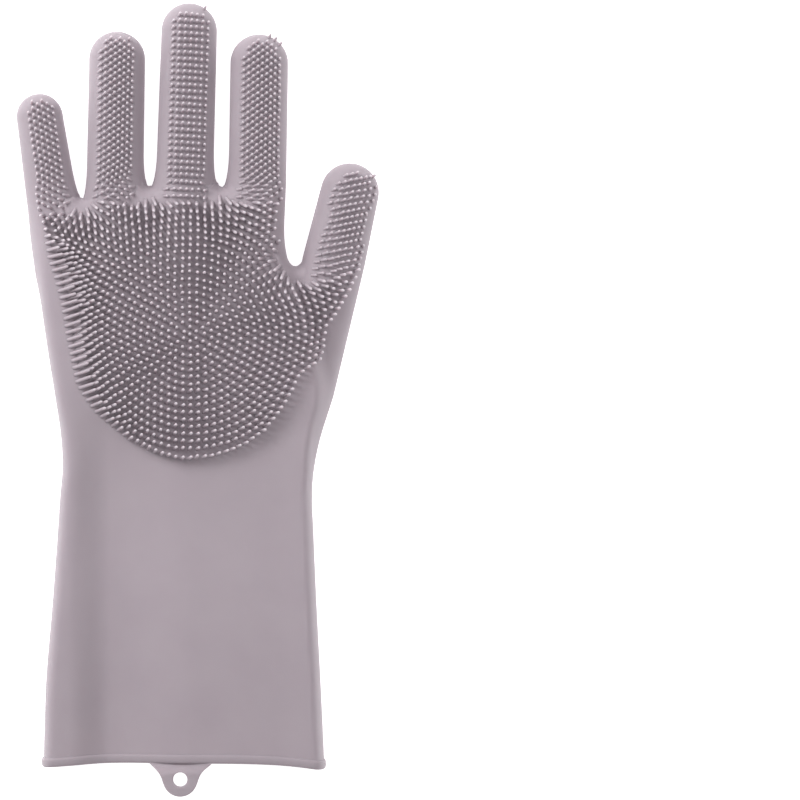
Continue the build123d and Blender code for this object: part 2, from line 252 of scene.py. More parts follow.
def field(points, inset=0.0):
    """Negative inside the glove, in about millimetres. inset gives the lining's surface."""
    x, y, z = points[..., 0], points[..., 1], points[..., 2]
    digits = np.min([digit_field(d, x, y, z, inset) for d in DIGITS.values()], axis=0)
    webs = np.min([web_field(web, x, y, z, inset) for web in WEBS], axis=0)
    whole = joined(hand_field(x, y, z, inset), np.minimum(digits, webs), FILLET)
    return np.maximum(whole, inset - z)


def gradient(points, inset=0.0):
    """The field's slope along x, y and z."""
    h = 0.05
    found = np.empty_like(points)
    for axis in range(3):
        step = np.zeros(3)
        step[axis] = h
        found[..., axis] = (field(points + step, inset) - field(points - step, inset)) / (2 * h)
    return found


def unit(vectors):
    """The same directions with length 1."""
    return vectors / np.linalg.norm(vectors, axis=-1, keepdims=True)


def reach_inside(points, way, low, high, halvings):
    """How far the glove goes on along way from each point, between low and high."""
    low, high = np.full(len(points), low), np.full(len(points), high)
    for _ in range(halvings):
        middle = (low + high) / 2
        inside = field(points + way * middle[:, None]) < 0
        low, high = np.where(inside, middle, low), np.where(inside, high, middle)
    return low


def zero_surface(inset, step):
    """Points and quads of the surface where the field is zero, from beyond the mouth's plane."""
    low = np.array(GRID_LOW) + (0, CUFF_MOUTH_Y, 0)
    high = np.array(GRID_HIGH)
    counts = np.ceil((high - low) / step).astype(int) + 1
    axes = [low[i] + step * np.arange(counts[i]) for i in range(3)]
    grid = np.stack(np.meshgrid(*axes, indexing="ij"), axis=-1)
    values = field(grid, inset)
    inside = values < 0
    cells = np.zeros(counts - 1)
    total = np.zeros((*(counts - 1), 3))
    corners = [(a, b, c) for a in (0, 1) for b in (0, 1) for c in (0, 1)]

    def corner(array, offset):
        a, b, c = offset
        n = counts - 1
        return array[a:a + n[0], b:b + n[1], c:c + n[2]]

    # Each cell's point is the average of the places where the surface crosses its edges.
    for first in corners:
        for axis in range(3):
            if first[axis]:
                continue
            second = tuple(v + (i == axis) for i, v in enumerate(first))
            f0, f1 = corner(values, first), corner(values, second)
            crossing = corner(inside, first) != corner(inside, second)
            share = np.where(crossing, f0 / np.where(f0 == f1, 1, f0 - f1), 0)
            from_first = corner(grid, second) - corner(grid, first)
            where = corner(grid, first) + share[..., None] * from_first
            cells += crossing
            total += where * crossing[..., None]
    used = cells > 0
    index = np.full(used.shape, -1)
    index[used] = np.arange(used.sum())
    points = total[used] / cells[used][:, None]

    # Each crossed grid line has a quad round it, between the points of its four cells.
    quads = []
    for axis in range(3):
        b, c = [i for i in range(3) if i != axis]
        before = [slice(None)] * 3
        after = [slice(None)] * 3
        before[axis], after[axis] = slice(None, -1), slice(1, None)
        crossing = inside[tuple(before)] != inside[tuple(after)]
        places = np.argwhere(crossing)
        places = places[(places[:, b] > 0) & (places[:, c] > 0)]
        places = places[(places[:, b] < counts[b] - 1) & (places[:, c] < counts[c] - 1)]
        around = []
        for db, dc in ((-1, -1), (0, -1), (0, 0), (-1, 0)):
            cell = places.copy()
            cell[:, b] += db
            cell[:, c] += dc
            around.append(index[tuple(cell.T)])
        found = np.stack(around, axis=1)
        flip = inside[tuple(places.T)] == (axis == 1)
        found[flip] = found[flip][:, ::-1]
        quads.append(found)

    # A few Newton steps bring the points onto the surface.
    for _ in range(NEWTON_STEPS):
        slope = gradient(points, inset)
        size = np.maximum((slope**2).sum(-1), LEAST_SLOPE)
        move = np.clip(field(points, inset) / size, -LONGEST_STEP, LONGEST_STEP)
        points = points - move[:, None] * slope
    return points, np.concatenate(quads)


def digit_span(d, place):
    """Where a digit's piece of skin starts and ends, half-way between its hinges."""
    marks = [d["start"]]
    marks += [(a + b) / 2 for a, b in zip(d["hinges"], d["hinges"][1:])]
    marks.append(d["hinges"][-1] * 2 - marks[-1])
    return marks[place], marks[place + 1]


def part_of(x, y):
    """The name of the piece that each place belongs to, such as "ring_2" or "hand_0"."""
    found = np.full(x.shape, "hand_0", dtype=object)
    for name, d in DIGITS.items():
        distance, across = local(d, x, y)
        for place in range(len(d["segments"])):
            own = (np.abs(across) < DIGIT_REACH) & (distance > digit_span(d, place)[0])
            found[own] = f"{name}_{place}"
    return found


def split_skin(points, quads):
    """Cuts the skin across each digit and at the mouth: {piece: (points, faces)}."""
    mesh = bpy.data.meshes.new("whole")
    mesh.from_pydata(points.tolist(), [], quads.tolist())
    bm = bmesh.new()
    bm.from_mesh(mesh)
    everything = bm.verts[:] + bm.edges[:] + bm.faces[:]
    bmesh.ops.bisect_plane(bm, geom=everything, plane_co=(0, MOUTH_CUT_Y, 0),
                           plane_no=(0, -1, 0), clear_outer=True)
    for d in DIGITS.values():
        ux, uy = d["along"]
        for place in range(len(d["segments"])):
            start = digit_span(d, place)[0]
            faces = []
            for f in bm.faces:
                centre = f.calc_center_median()
                distance, across = local(d, centre.x, centre.y)
                if abs(across) < DIGIT_REACH and abs(distance - start) < CUT_REACH:
                    faces.append(f)
            edges = list({e for f in faces for e in f.edges})
            verts = list({v for f in faces for v in f.verts})
            cut = (d["root"][0] + ux * start, d["root"][1] + uy * start, 0)
            bmesh.ops.bisect_plane(bm, geom=verts + edges + faces, plane_co=cut,
                                   plane_no=(ux, uy, 0))
    bm.verts.index_update()
    all_points = np.array([v.co for v in bm.verts])
    centres = np.array([f.calc_center_median() for f in bm.faces])
    names = part_of(centres[:, 0], centres[:, 1])
    faces = [[v.index for v in f.verts] for f in bm.faces]
    bm.free()
    bpy.data.meshes.remove(mesh)
    made = {}
    for name in sorted(set(names)):
        own = [faces[i] for i in np.flatnonzero(names == name)]
        used = sorted({v for f in own for v in f})
        place = {v: i for i, v in enumerate(used)}
        made[name] = (all_points[used], [[place[v] for v in f] for f in own])
    return made


def linked(name, data):
    """A new object in the scene."""
    obj = bpy.data.objects.new(name, data)
    bpy.context.scene.collection.objects.link(obj)
    return obj


def new_object(name, points, faces, material, normals=None):
    """A mesh object from points in millimetres."""
    mesh = bpy.data.meshes.new(name)
    mesh.from_pydata((np.asarray(points) * MM).tolist(), [], faces)
    mesh.shade_smooth()
    if normals is not None:
        mesh.normals_split_custom_set_from_vertices(normals.tolist())
    mesh.materials.append(material)
    return linked(name, mesh)


# ---------------------------------------------------------------- materials


def silicone(name, dark, light, tip_highlight=None):
    """Matt moulded silicone: mottled from dark to light and finely grained; a given tip colour
    paints a highlight on the bristle ends.
    """
    material = bpy.data.materials.new(name)
    material.use_nodes = True
    nodes, links = material.node_tree.nodes, material.node_tree.links
    shader = nodes["Principled BSDF"]
    shader.inputs["Subsurface Weight"].default_value = 0.3
    shader.inputs["Subsurface Radius"].default_value = (1.0, 0.8, 0.8)
    shader.inputs["Subsurface Scale"].default_value = 0.003
    shader.inputs["Specular IOR Level"].default_value = 0.25
    shader.inputs["IOR"].default_value = 1.43
    shader.inputs["Sheen Weight"].default_value = 0.08
    shader.inputs["Sheen Roughness"].default_value = 0.5
    place = nodes.new("ShaderNodeTexCoord")

    def noise(scale, detail, roughness):
        node = nodes.new("ShaderNodeTexNoise")
        node.inputs["Scale"].default_value = scale
        node.inputs["Detail"].default_value = detail
        node.inputs["Roughness"].default_value = roughness
        links.new(place.outputs["Object"], node.inputs["Vector"])
        return node

    mottle = noise(38.0, 3.0, 0.55)
    colour = nodes.new("ShaderNodeValToRGB")
    stops = colour.color_ramp.elements
    stops[0].position, stops[0].color = 0.32, (*dark, 1)
    stops[1].position, stops[1].color = 0.68, (*light, 1)
    links.new(mottle.outputs["Fac"], colour.inputs["Fac"])
    top = colour.outputs["Color"]
    # The tip colour is a painted highlight, mixed in towards each bristle's end by its reach.
    if tip_highlight is not None:
        reach = nodes.new("ShaderNodeAttribute")
        reach.attribute_name = "reach"
        mix = nodes.new("ShaderNodeMix")
        mix.data_type = "RGBA"
        share = nodes.new("ShaderNodeMapRange")
        share.inputs["From Min"].default_value = 0.62
        share.inputs["From Max"].default_value = 1.0
        links.new(reach.outputs["Fac"], share.inputs["Value"])
        links.new(share.outputs["Result"], mix.inputs["Factor"])
        links.new(top, mix.inputs["A"])
        mix.inputs["B"].default_value = (*tip_highlight, 1)
        top = mix.outputs["Result"]
    links.new(top, shader.inputs["Base Color"])
    rough = noise(160.0, 2.0, 0.5)
    spread = nodes.new("ShaderNodeMapRange")
    spread.inputs["To Min"].default_value = 0.5
    spread.inputs["To Max"].default_value = 0.64
    links.new(rough.outputs["Fac"], spread.inputs["Value"])
    links.new(spread.outputs["Result"], shader.inputs["Roughness"])
    grain = noise(1500.0, 3.0, 0.6)
    relief_node = nodes.new("ShaderNodeBump")
    relief_node.inputs["Strength"].default_value = 0.08
    relief_node.inputs["Distance"].default_value = 0.0004
    links.new(grain.outputs["Fac"], relief_node.inputs["Height"])
    links.new(relief_node.outputs["Normal"], shader.inputs["Normal"])
    return material


skin_material = silicone("silicone_skin", (0.385, 0.33, 0.367), (0.4, 0.345, 0.381))
# The rolled edge's silicone is a darker copy of the skin's: painted shade, not a colour of its own.
painted_shade_rim_material = silicone("silicone_rim_painted_shade", (0.358, 0.307, 0.341), (0.372, 0.321, 0.354))
# The bristles' silicone is a lighter copy of the skin's: painted light that lifts the shaded gaps
# between them. Their ends are lighter still: a painted highlight.
painted_light_bristle_material = silicone("silicone_bristle_painted_light", (0.44, 0.382, 0.42), (0.46, 0.402, 0.44),
                            tip_highlight=(0.67, 0.6, 0.645))

# ---------------------------------------------------------------- skin and lining

PLACE_NAMES = ["knuckle", "middle", "end"]


def piece_name(key, on_hand, ending):
    """The full name of a mesh from its key, such as "ring_2"."""
    digit, number = key.rsplit("_", 1)
    return on_hand if digit == "hand" else f"{digit}_{PLACE_NAMES[int(number)]}_{ending}"


skin_parts = split_skin(*zero_surface(0.0, SKIN_STEP))
lining_points, lining_quads = zero_surface(WALL, LINING_STEP)
lining_parts = split_skin(lining_points, lining_quads[:, ::-1])
skins = {}
for key, (points, faces) in skin_parts.items():
    normals = unit(gradient(points))
    if key in lining_parts:
        inner_points, inner_faces = lining_parts[key]
        inner_normals = -unit(gradient(inner_points, WALL))
        faces = faces + [[v + len(points) for v in f] for f in inner_faces]
        points = np.concatenate([points, inner_points])
        normals = np.concatenate([normals, inner_normals])
    label = piece_name(key, "hand_and_cuff_skin", "skin")
    skins[key] = new_object(label, points, faces, skin_material, normals)

# ---------------------------------------------------------------- bristles

random = np.random.default_rng(7)
BRISTLE_LENGTH = 6.9
EDGE_BRISTLE_GROWTH = 0.28  # the leaning bristles at the palm's edge are this much longer
BRISTLE_RADIUS = 0.84
DIGIT_BRISTLE_LENGTH = 3.8
DIGIT_BRISTLE_RADIUS = 0.72
SUNK = 0.7  # how deep a bristle's root stands in the skin
SIDES = 8
# A bristle's share of its radius along its length: a tapering stem, then its domed end.
BRISTLE_PROFILE = [(0.0, 1.12), (0.14, 1.0), (0.5, 0.91), (0.87, 0.84), (0.935, 0.69), (0.98, 0.4)]
ROOT_LEAN = 0.8  # a bristle starts with this share of its lean and curves over to the rest
# Bristles leaning further than this keep less of the painted highlight on their ends: painted
# shade.
HIGHLIGHT_LEAN, HIGHLIGHT_LOSS = 0.6, 0.3
LEAN_SPREAD, LENGTH_SPREAD = 0.035, 0.015
PALM_PITCH = 3.2
PALM_EDGE_GAP = 0.5 * PALM_PITCH
RING_CENTRE = (-3.8, 28.8)
RING_COUNT = 29
RING_GROWTH = 6
INSIDE_Z, INSIDE_DEPTH = 14.0, 3  # rings stand only where the hand's middle is this far inside
# How far the palm's bristles reach along x and y per unit of height: all of them, how much more
# those at the outer edge, and those beside the thumb's foot.
ALL_LEAN, EDGE_LEAN, FOOT_LEAN = (0.12, 0.14), (1.75, 0.46), (0.36, 0.08)
EDGE_LEAN_WIDTH, EDGE_LEAN_FADE = 9, 11
EDGE_LEAN_END_Y, EDGE_LEAN_END_FADE = 69, 5
FOOT_X, FOOT_FADE = 2, 7
FOOT_Y, FOOT_HEIGHT = -6, 40
WEB_PUSH, WEB_REACH = 0.95, 16.0  # how strongly, and how far, a web makes bristles lean away
WEB_PUSH_FADE = 3  # how soon that ends between the digits
BARE_FADE = 2  # how soon the bare skin round a web narrows between the digits
# Bristles closer than this to each other are moved apart, by so much at most, in these places:
# near a finger's and the thumb's web, in the band where rings meet columns, and near the edge.
EVEN_GAP = 3.15
MOST_SHIFT = 1.9
EVENING_ROUNDS = 50
FINGER_WEB_BAND, THUMB_WEB_BAND, FINGER_WEB_TOP = 15, 24, 97
THUMB_WEB_X, THUMB_X = 30, 35
MEETING_BAND = (86, 96)
EDGE_BAND = 12
DIGIT_OVERLAP = 7.0  # how far the digits' columns run back into the palm
COLUMNS_REACH = 16  # the rings keep clear of a digit's columns up to here from its middle line
THUMB_ROW_SLOPE = 0.48
DOME_MARGIN, DOME_END_MARGIN = 1.2, 4.1  # how far the columns stay from a fingertip's outline
# Single bristles round a fingertip: their offsets across it, how far in from its outline they
# stand, how far they lean out and how long they are.
TIP_OFFSETS = {"index": (4.5, 6.9, 9.0), "middle": (6.6,), "thumb": (8.4,)}
TIP_INSET, TIP_LEAN, TIP_GROWN = 1.1, 1.1, 0.75
# Outline of the palm's bristles, seen from above. Its first two corners lie past the webs.
PALM_EDGE = [
    (-73.0, 110.0),
    (75.0, 110.0),
    (71.0, 58.0),
    (66.5, 49.0),
    (61.7, 40.0),
    (56.5, 33.0),
    (54.0, 17.5),
    (50.0, 15.3),
    (44.4, 11.0),
    (38.0, -1.2),
    (28.7, -14.1),
    (20.0, -20.5),
    (10.3, -24.4),
    (0.2, -26.6),
    (-7.9, -26.7),
    (-19.0, -24.0),
    (-31.0, -17.9),
    (-45.0, -6.2),
    (-49.5, -0.3),
    (-54.0, 7.4),
    (-58.6, 30.4),
    (-60.7, 43.4),
    (-63.6, 54.2),
    (-67.2, 65.0),
    (-70.0, 83.0),
]


def inside_outline(x, y, outline):
    """Whether each place lies within a closed outline."""
    odd = np.zeros(x.shape, bool)
    for (x0, y0), (x1, y1) in zip(outline, outline[1:] + outline[:1]):
        if y0 != y1:
            odd ^= ((y0 > y) != (y1 > y)) & (x < x0 + (x1 - x0) * (y - y0) / (y1 - y0))
    return odd


def top_of(x, y):
    """Height of the skin's bristled side at places seen from above."""
    ground = np.stack([x, y, np.zeros(x.shape)], axis=-1)
    return reach_inside(ground, np.array([0.0, 0.0, 1.0]), low=12.0, high=36.0, halvings=26)


def palm_edge_roots():
    """Evenly spaced places along the lower edge of the palm's bristles."""
    edge = np.array(PALM_EDGE[:1:-1])
    run = np.concatenate([[0], np.cumsum(np.hypot(*np.diff(edge, axis=0).T))])
    even = np.arange(0, run[-1], PALM_PITCH)
    return np.interp(even, run, edge[:, 0]), np.interp(even, run, edge[:, 1])


def palm_roots():
    """Concentric rings round the palm's middle, each with six bristles more than the last."""
    edge_x, edge_y = palm_edge_roots()
    sizes = RING_GROWTH * np.arange(1, RING_COUNT)
    rings = np.repeat(np.arange(1, RING_COUNT), sizes)
    turns = np.concatenate([np.arange(size) / size for size in sizes])
    centre_x, centre_y = RING_CENTRE
    x = np.append(centre_x + rings * PALM_PITCH * np.sin(2 * np.pi * turns), centre_x)
    y = np.append(centre_y + rings * PALM_PITCH * np.cos(2 * np.pi * turns), centre_y)
    to_edge = np.hypot(x[:, None] - edge_x, y[:, None] - edge_y).min(axis=1)
    keep = inside_outline(x, y, PALM_EDGE) & (to_edge > PALM_EDGE_GAP)
    x, y = np.concatenate([edge_x, x[keep]]), np.concatenate([edge_y, y[keep]])
    keep = field(np.stack([x, y, np.full(x.shape, INSIDE_Z)], -1)) < -INSIDE_DEPTH
    for name, d in DIGITS.items():
        distance, across = local(d, x, y)
        if name == "thumb":
            distance = distance - THUMB_ROW_SLOPE * across
        before = distance < d["start"] - DIGIT_OVERLAP - 0.4
        keep &= before | (np.abs(across) > COLUMNS_REACH)
    return x[keep], y[keep]


def palm_lean(x, y):
    """The palm bristles' reach along x and y: in from the outer edge, and a little to the right."""
    from_edge = np.clip(x - station_value(y, 1) - EDGE_LEAN_WIDTH, 0, None)
    below_end = 1 + np.exp((y - EDGE_LEAN_END_Y) / EDGE_LEAN_END_FADE)
    at_edge = np.exp(-from_edge / EDGE_LEAN_FADE) / below_end
    at_foot = 1 / (1 + np.exp(-(x - FOOT_X) / FOOT_FADE)) * bump(y, FOOT_Y, FOOT_HEIGHT)
    return [everywhere + edge * at_edge + foot * at_foot
            for everywhere, edge, foot in zip(ALL_LEAN, EDGE_LEAN, FOOT_LEAN)]


def web_push(x, y):
    """Bristles near the bottom of a gap between digits lean away from it."""
    across, up = np.zeros(x.shape), np.zeros(x.shape)
    for web_x, web_y, radius, _ in WEBS:
        dx, dy = x - web_x, y - web_y - radius
        distance = np.hypot(dx, dy)
        push = WEB_PUSH * np.exp(-(distance - radius) / WEB_REACH)
        push = push * np.exp(-np.clip(dy, 0, None) / WEB_PUSH_FADE)
        across += push * dx / distance
        up += push * dy / distance
    return across, up


# Towards a digit's first column the bristles lean more, sideways and tipward, and are shorter.
LAST_SIDEWAYS, SIDEWAYS_POWER = 0.06, 0.8
LAST_TIPWARD, MORE_TIPWARD = 0.16, 0.42
SHORTEST, GROWTH, GROWTH_SPAN = 0.55, 0.45, (-0.15, 0.4)
# Columns, first and last column's offset, staggered, row pitch, lean of the first column.
DIGIT_ROWS = {
    "little": (6, -4.4, 7.0, True, 3.1, 0.16),
    "ring": (8, -7.4, 7.7, True, 2.95, 0.56),
    "middle": (7, -7.0, 9.0, False, 2.91, 0.34),
    "index": (9, -7.2, 9.5, True, 2.95, 0.5),
    "thumb": (8, -6.0, 9.8, False, 3.0, 0.55),
}


def digit_roots(name, d):
    """Columns of bristles along a digit, narrowing round its domed tip."""
    count, first, last, staggered, pitch, lean = DIGIT_ROWS[name]
    rows = []
    start = d["start"] - DIGIT_OVERLAP + 0.8
    dome = d["widths"][2] / 2
    for column in range(count):
        share = column / (count - 1)
        offset = first + (last - first) * share
        shift = 0.5 * (column % 2) if staggered else 0.0
        steps = int((d["length"] - start) / pitch) + 1
        for row in range(steps):
            distance = start + (row + shift) * pitch
            if name == "thumb":
                distance += offset * THUMB_ROW_SLOPE
            beyond = max(distance - (d["length"] - dome), 0)
            room = np.sqrt(max(1 - (beyond / (dome - DOME_MARGIN)) ** 2, 0))
            from_middle = abs(offset - (first + last) / 2)
            if beyond > dome - DOME_END_MARGIN or from_middle > room * (last - first + 1) / 2:
                continue
            sideways = lean * (1 - share) ** SIDEWAYS_POWER + LAST_SIDEWAYS
            tipward = LAST_TIPWARD + MORE_TIPWARD * (1 - share)
            grown = SHORTEST + GROWTH * smooth_step(share, *GROWTH_SPAN)
            rows.append((distance, offset, sideways, tipward, grown))
    for offset in TIP_OFFSETS.get(name, ()):
        beyond = np.sqrt((dome - TIP_INSET) ** 2 - offset**2)
        sideways, tipward = TIP_LEAN * offset / dome, TIP_LEAN * beyond / dome
        rows.append((d["length"] - dome + beyond, offset, sideways, tipward, TIP_GROWN))
    distance, offset, sideways, tipward, grown = np.array(rows).T
    ux, uy = d["along"]
    x = d["root"][0] + ux * distance + uy * offset
    y = d["root"][1] + uy * distance - ux * offset
    return x, y, sideways * uy + tipward * ux, tipward * uy - sideways * ux, grown


def evened(x, y):
    """Moves places near the webs and the palm's edge a little, so that the patterns meet evenly."""
    places = np.stack([x, y], axis=-1)
    edge_x, edge_y = palm_edge_roots()
    to_edge = np.hypot(x[:, None] - edge_x, y[:, None] - edge_y).min(axis=1)
    to_web = np.min([np.hypot(x - web_x, y - web_y) for web_x, web_y, _, _ in WEBS], axis=0)
    near_web = to_web < np.where(x > THUMB_WEB_X, THUMB_WEB_BAND, FINGER_WEB_BAND)
    near_web &= (y < FINGER_WEB_TOP) | (x > THUMB_X)
    meeting = (y > MEETING_BAND[0]) & (y < MEETING_BAND[1])
    on_edge = to_edge <= 0.1
    free = np.flatnonzero((near_web | meeting | (to_edge < EDGE_BAND)) & ~on_edge)
    home = places[free].copy()
    for _ in range(EVENING_ROUNDS):
        apart = places[free][:, None, :] - places[None, :, :]
        gap = np.hypot(apart[..., 0], apart[..., 1])
        gap[gap == 0] = np.inf
        push = np.clip(1 - gap / EVEN_GAP, 0, None) / gap
        moved = places[free] + (apart * push[..., None]).sum(axis=1) * 0.5
        shift = moved - home
        size = np.maximum(np.hypot(*shift.T), 1e-6)
        places[free] = home + shift * (np.minimum(size, MOST_SHIFT) / size)[:, None]
    return places[:, 0], places[:, 1]


def bristle_mesh(name, x, y, across, up, lengths, radii):
    """One mesh of round-tipped bristles, each rooted in the skin and curving a little over."""
    count = len(x)
    z = top_of(x, y)
    way = unit(np.stack([across, up, np.ones(count)], axis=-1))
    start_way = unit(np.stack([across * ROOT_LEAN, up * ROOT_LEAN, np.ones(count)], axis=-1))
    roots = np.stack([x, y, z], axis=-1) - start_way * SUNK
    side = unit(np.cross(way, np.array([0.0, 1.0, 0.02])))
    other = np.cross(side, way)
    angles = np.arange(SIDES) * 2 * np.pi / SIDES
    # How much of the painted highlight each bristle keeps; the leaning ones keep less, painted
    # shade.
    highlight_kept = 1 - HIGHLIGHT_LOSS * np.clip(np.hypot(across, up) - HIGHLIGHT_LEAN, 0, 1)[:, None]
    points, reach = [], []
    for t, share in BRISTLE_PROFILE + [(1.0, 0.0)]:
        bent = t * start_way + t * t * (way - start_way) * 0.5
        centre = roots + (lengths + SUNK)[:, None] * bent
        if share == 0:
            points.append(centre[:, None, :])
            reach.append(t * highlight_kept)
            continue
        ring = (np.cos(angles)[None, :, None] * side[:, None, :]
                + np.sin(angles)[None, :, None] * other[:, None, :])
        points.append(centre[:, None, :] + ring * (radii * share)[:, None, None])
        reach.append(np.tile(t * highlight_kept, (1, SIDES)))
    points = np.concatenate(points, axis=1)
    reach = np.concatenate(reach, axis=1)
    own = points.shape[1]
    top = (len(BRISTLE_PROFILE) - 1) * SIDES
    one = []
    for a in range(0, top, SIDES):
        for i in range(SIDES):
            j = (i + 1) % SIDES
            one.append([a + i, a + j, a + SIDES + j, a + SIDES + i])
    for i in range(SIDES):
        one.append([top + i, top + (i + 1) % SIDES, own - 1])
    one.append(list(range(SIDES))[::-1])
    faces = []
    for k in range(count):
        faces += [[v + k * own for v in f] for f in one]
    obj = new_object(name, points.reshape(-1, 3), faces, painted_light_bristle_material)
    # reach marks how far along its bristle each point lies; the material paints the highlight by
    # it.
    attribute = obj.data.attributes.new("reach", "FLOAT", "POINT")
    attribute.data.foreach_set("value", reach.reshape(-1).astype(np.float32))
    return obj


x, y = palm_roots()
across, up = palm_lean(x, y)
lengths = BRISTLE_LENGTH * (1 + EDGE_BRISTLE_GROWTH * np.clip(across - 0.4, 0, 1))
table = [np.stack([x, y, across, up, lengths, np.full(x.shape, BRISTLE_RADIUS)])]
for name, d in DIGITS.items():
    x, y, across, up, grown = digit_roots(name, d)
    lengths, radii = DIGIT_BRISTLE_LENGTH * grown, np.full(x.shape, DIGIT_BRISTLE_RADIUS)
    table.append(np.stack([x, y, across, up, lengths, radii]))
x, y, across, up, lengths, radii = np.concatenate(table, axis=1)
x, y = evened(x, y)
push_across, push_up = web_push(x, y)
across = across + push_across + random.normal(0, LEAN_SPREAD, x.shape)
up = up + push_up + random.normal(0, LEAN_SPREAD, x.shape)
lengths = lengths * (1 + random.normal(0, LENGTH_SPREAD, x.shape))
in_pattern = np.ones(x.shape, bool)
for web_x, web_y, radius, bare in WEBS:
    above = np.clip(y - web_y - radius, 0, None)
    bare_radius = radius + bare * np.exp(-above / BARE_FADE)
    in_pattern &= np.hypot(x - web_x, y - web_y - radius) > bare_radius
owner = part_of(x, y)
bristles = {}
for key in skins:
    own = in_pattern & (owner == key)
    columns = [column[own] for column in (x, y, across, up, lengths, radii)]
    label = piece_name(key, "palm_bristle_field", "bristle_rows")
    bristles[key] = bristle_mesh(label, *columns)

# ---------------------------------------------------------------- rolled cuff edge and tab

CAP_RAYS, SIDE_RAYS = 240, 480
MOUTH_POINTS = 260
BEAD_SIDES = 20
BEAD_SQUARENESS = 0.72  # 1 is an ellipse, less is squarer
BEAD_IN, BEAD_OUT = -WALL - 0.25, 0.95  # how far the bead stands in and out from the skin
BEAD_MIDDLE = (BEAD_IN + BEAD_OUT) / 2
# The mouth is not straight: its corners hang lower than its middle.
BEAD_LIFT, LEFT_DROOP, RIGHT_DROOP, DROOP_POWER = 0.9, 1.9, 3.1, 3.5
TAB_EDGE = 0.55  # rounding of the tab's rims
TAB_FLARE = 1.2
TAB_HOLLOW = 1.5  # how far the tab's flanks curve in
TAB_ROOT = 2.0  # how far the tab runs into the bead
TAB_HOLE_RADIUS = 3.2
TAB_BEND = (2.4, 0.4)  # it bends to the rim from this far past the hole to this far past its box
TAB_SINK = 0.4  # how far the bent root lies below the skin's top


def mouth_loop(count):
    """The cuff's outline at its mouth, evenly spaced, and the outward direction at each point."""
    left, right, thickness = (station_value(np.array(CUFF_MOUTH_Y), column) for column in (1, 2, 3))
    cap = thickness / 2
    turn = np.linspace(-np.pi / 2, np.pi / 2, CAP_RAYS, endpoint=False)
    upward = np.full(SIDE_RAYS, np.pi / 2)
    leftward = np.linspace(right - cap, left + cap, SIDE_RAYS, endpoint=False)
    right_end, left_end = np.full(CAP_RAYS, right - cap), np.full(CAP_RAYS, left + cap)
    from_x = np.concatenate([right_end, leftward, left_end, left + right - leftward])
    angle = np.concatenate([turn, upward, turn + np.pi, -upward])
    mouth_y, middle_z = np.full(angle.shape, CUFF_MOUTH_Y), np.full(angle.shape, cap)
    centre = np.stack([from_x, mouth_y, middle_z], axis=-1)
    way = np.stack([np.cos(angle), np.zeros(angle.shape), np.sin(angle)], axis=-1)
    loop = centre + way * reach_inside(centre, way, low=0.0, high=90.0, halvings=30)[:, None]
    closed = np.vstack([loop, loop[:1]])
    run = np.concatenate([[0], np.cumsum(np.linalg.norm(np.diff(closed, axis=0), axis=1))])
    even = np.linspace(0, run[-1], count, endpoint=False)
    loop = np.stack([np.interp(even, run, closed[:, i]) for i in range(3)], axis=-1)
    outward = gradient(loop)
    outward[:, 1] = 0
    return loop, unit(outward)


def cuff_bead():
    """A ring of rounded section, swept round the mouth."""
    loop, outward = mouth_loop(MOUTH_POINTS)
    middle = (loop[:, 0].min() + loop[:, 0].max()) / 2
    reach = (loop[:, 0] - middle) / (np.ptp(loop[:, 0]) / 2)
    droop = np.where(reach < 0, LEFT_DROOP, RIGHT_DROOP) * np.abs(reach) ** DROOP_POWER - BEAD_LIFT
    depth = CUFF_MOUTH_Y - BEAD_END_Y
    profile = []
    for angle in np.linspace(0, 2 * np.pi, BEAD_SIDES, endpoint=False):
        c, s = (np.sign(v) * abs(v) ** BEAD_SQUARENESS for v in (np.cos(angle), np.sin(angle)))
        profile.append((BEAD_MIDDLE + c * (BEAD_OUT - BEAD_IN) / 2, depth / 2 + s * depth / 2))
    points, faces = [], []
    for k in range(len(loop)):
        for out, down in profile:
            point = loop[k] + outward[k] * out
            point[1] = CUFF_MOUTH_Y - down - droop[k]
            points.append(point)
    points = np.array(points)
    points[:, 2] = np.clip(points[:, 2], 0, None)
    n = len(profile)
    for k in range(len(loop)):
        for i in range(n):
            a, b = k * n, ((k + 1) % len(loop)) * n
            faces.append([a + i, a + (i + 1) % n, b + (i + 1) % n, b + i])
    # The edge takes the darker silicone: painted shade.
    return new_object("rolled_cuff_edge", points, faces, painted_shade_rim_material)


